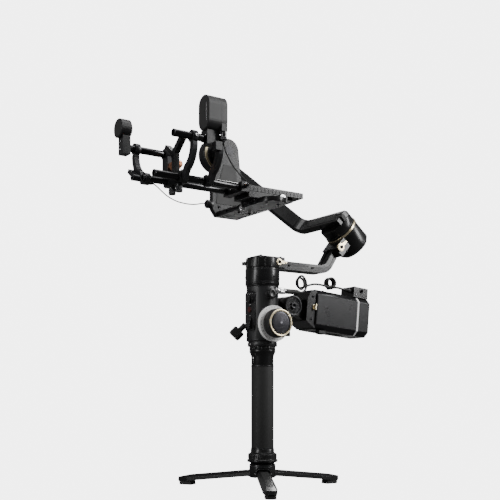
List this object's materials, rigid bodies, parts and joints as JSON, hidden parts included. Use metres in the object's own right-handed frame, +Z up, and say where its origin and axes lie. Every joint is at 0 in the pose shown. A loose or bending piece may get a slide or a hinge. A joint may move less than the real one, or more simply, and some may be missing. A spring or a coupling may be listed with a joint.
{
  "type": "camera gimbal stabilizer",
  "caption": "Handheld three-axis camera gimbal on a folding mini tripod, with motor arms, rod and lens support, follow-focus servos and a rear battery box.",
  "frame": {"origin": "mouth of the threaded socket in the underside of the tripod hub, on the column axis", "axes": "+Z up the column, -Y forward along the lens direction, +X to the control wheel side"},
  "size_m": [0.3286, 0.4909, 0.6683],
  "materials": {
    "black_metal": "satin anodised",
    "dark_metal": "satin anodised",
    "steel": "brushed",
    "rubber": "matte",
    "black_shell": "satin",
    "panel": "matte",
    "white": "gloss",
    "red": "gloss",
    "wheel_black": "knurled",
    "gold": "champagne anodised",
    "cap_grey": "satin",
    "lock_black": "gloss",
    "motor_grey": "satin anodised",
    "rod": "satin anodised",
    "bracket_grey": "satin anodised",
    "copper": "copper anodised",
    "box_black": "brushed",
    "lead": "matte"
  },
  "bodies": {
    "column": {"tripod_hub": "black_metal", "leg_pins": "steel", "lower_collar": "black_metal", "grip_core": "dark_metal", "grip_sleeve": "rubber", "upper_collar": "black_metal", "column_shell": "black_shell", "button_panel": "panel", "wheel_base": "white", "pan_case": "black_metal", "column_plug": "panel"},
    "leg_1": {"leg_1": "black_metal", "foot_1": "rubber"},
    "leg_2": {"leg_2": "black_metal", "foot_2": "rubber"},
    "leg_3": {"leg_3": "black_metal", "foot_3": "rubber"},
    "quick_ring": {"quick_ring": "black_metal"},
    "joystick": {"joystick": "rubber"},
    "record_button": {"record_button": "red"},
    "trigger": {"trigger": "panel"},
    "wheel": {"control_wheel": "wheel_black", "wheel_ring": "gold", "wheel_cap": "cap_grey"},
    "side_knob": {"side_knob": "black_metal"},
    "pan": {"pan_rotor": "black_metal"},
    "pan_lock": {"pan_lock": "lock_black"},
    "pan_lever": {"pan_lever": "gold"},
    "yaw": {"yaw_arm": "black_metal", "roll_case": "black_metal", "roll_ring": "gold"},
    "roll_lever": {"roll_lever": "gold"},
    "roll": {"roll_rotor": "black_metal", "roll_arm": "black_metal", "tilt_case": "motor_grey", "tilt_ring": "gold"},
    "roll_lock": {"roll_lock": "lock_black"},
    "tilt": {"l_bracket": "black_metal", "bracket_base": "black_metal", "plate_screws": "steel"},
    "plate": {"camera_plate": "black_metal", "rods": "rod", "rod_clamp": "black_metal", "near_brackets": "bracket_grey", "near_servo": "black_shell", "far_bracket": "bracket_grey", "far_servo": "black_shell", "focus_lead": "lead", "servo_lead": "lead", "servo_plugs": "panel"},
    "near_gear": {"near_gear": "rubber"},
    "copper_knob": {"copper_knob": "copper"},
    "battery": {"battery_mount": "black_metal", "battery_box": "box_black", "light_band": "white", "port_block": "panel", "power_lead": "lead", "lead_coil": "lead", "lead_plugs": "panel"},
    "battery_latch": {"battery_latch": "lock_black"}
  },
  "joints": [
    {"name": "leg_1_fold", "type": "hinge", "parent": "column", "child": "leg_1", "pos_m": [0, 0.017, 0.007], "axis": [-1, 0, 0], "range_deg": [0, 80]},
    {"name": "leg_2_fold", "type": "hinge", "parent": "column", "child": "leg_2", "pos_m": [-0.01472, -0.0085, 0.007], "axis": [0.5, -0.866, 0], "range_deg": [0, 80]},
    {"name": "leg_3_fold", "type": "hinge", "parent": "column", "child": "leg_3", "pos_m": [0.01472, -0.0085, 0.007], "axis": [0.5, 0.866, 0], "range_deg": [0, 80]},
    {"name": "quick_ring_turn", "type": "hinge", "parent": "column", "child": "quick_ring", "pos_m": [0, 0, 0.231], "axis": [0, 0, 1], "range_deg": [0, 30]},
    {"name": "joystick_press", "type": "slide", "parent": "column", "child": "joystick", "axis": [0, 1, 0], "range_m": [0, 0.0012], "stiffness_N_per_m": 400},
    {"name": "record_press", "type": "slide", "parent": "column", "child": "record_button", "axis": [0, 1, 0], "range_m": [0, 0.001], "stiffness_N_per_m": 400},
    {"name": "trigger_pull", "type": "slide", "parent": "column", "child": "trigger", "axis": [0, 1, 0], "range_m": [0, 0.0025], "stiffness_N_per_m": 300},
    {"name": "wheel_turn", "type": "hinge", "parent": "column", "child": "wheel", "pos_m": [0.04, 0, 0.274], "axis": [1, 0, 0], "continuous": true},
    {"name": "side_knob_turn", "type": "hinge", "parent": "column", "child": "side_knob", "pos_m": [-0.03, -0.037, 0.258], "axis": [-0.3954, -0.5862, -0.7071], "continuous": true},
    {"name": "pan_turn", "type": "hinge", "parent": "column", "child": "pan", "pos_m": [0, 0, 0.38], "axis": [0, 0, 1], "continuous": true},
    {"name": "pan_lock_push", "type": "slide", "parent": "pan", "child": "pan_lock", "axis": [-0.5592, -0.829, 0], "range_m": [-0.0028, 0]},
    {"name": "pan_lever_turn", "type": "hinge", "parent": "pan", "child": "pan_lever", "pos_m": [0.0228, 0.02, 0.386], "axis": [1, 0, 0], "range_deg": [0, 80]},
    {"name": "arm_slide", "type": "slide", "parent": "pan", "child": "yaw", "axis": [0, 1, 0], "range_m": [0, 0.018]},
    {"name": "roll_lever_turn", "type": "hinge", "parent": "yaw", "child": "roll_lever", "pos_m": [0.0273, 0.16, 0.4255], "axis": [1, 0, 0], "range_deg": [-60, 0]},
    {"name": "roll_turn", "type": "hinge", "parent": "yaw", "child": "roll", "pos_m": [0, 0, 0.615], "axis": [0, -0.7716, 0.6361], "range_deg": [-30, 30]},
    {"name": "roll_lock_push", "type": "slide", "parent": "roll", "child": "roll_lock", "axis": [-1, 0, 0], "range_m": [0, 0.003]},
    {"name": "tilt_turn", "type": "hinge", "parent": "roll", "child": "tilt", "pos_m": [-0.13, 0, 0.615], "axis": [1, 0, 0], "range_deg": [-80, 22]},
    {"name": "plate_slide", "type": "slide", "parent": "tilt", "child": "plate", "axis": [0, 1, 0], "range_m": [-0.015, 0]},
    {"name": "near_gear_turn", "type": "hinge", "parent": "plate", "child": "near_gear", "pos_m": [0.063, -0.15, 0.612], "axis": [0, 1, 0], "continuous": true},
    {"name": "copper_knob_turn", "type": "hinge", "parent": "plate", "child": "copper_knob", "pos_m": [-0.04, -0.16, 0.544], "axis": [1, 0, 0], "continuous": true},
    {"name": "battery_tilt", "type": "hinge", "parent": "column", "child": "battery", "pos_m": [0.01, 0.055, 0.31], "axis": [1, 0, 0], "range_deg": [-35, 0]},
    {"name": "battery_latch_slide", "type": "slide", "parent": "battery", "child": "battery_latch", "axis": [0, 0.9962, -0.0872], "range_m": [0, 0.006]}
  ]
}
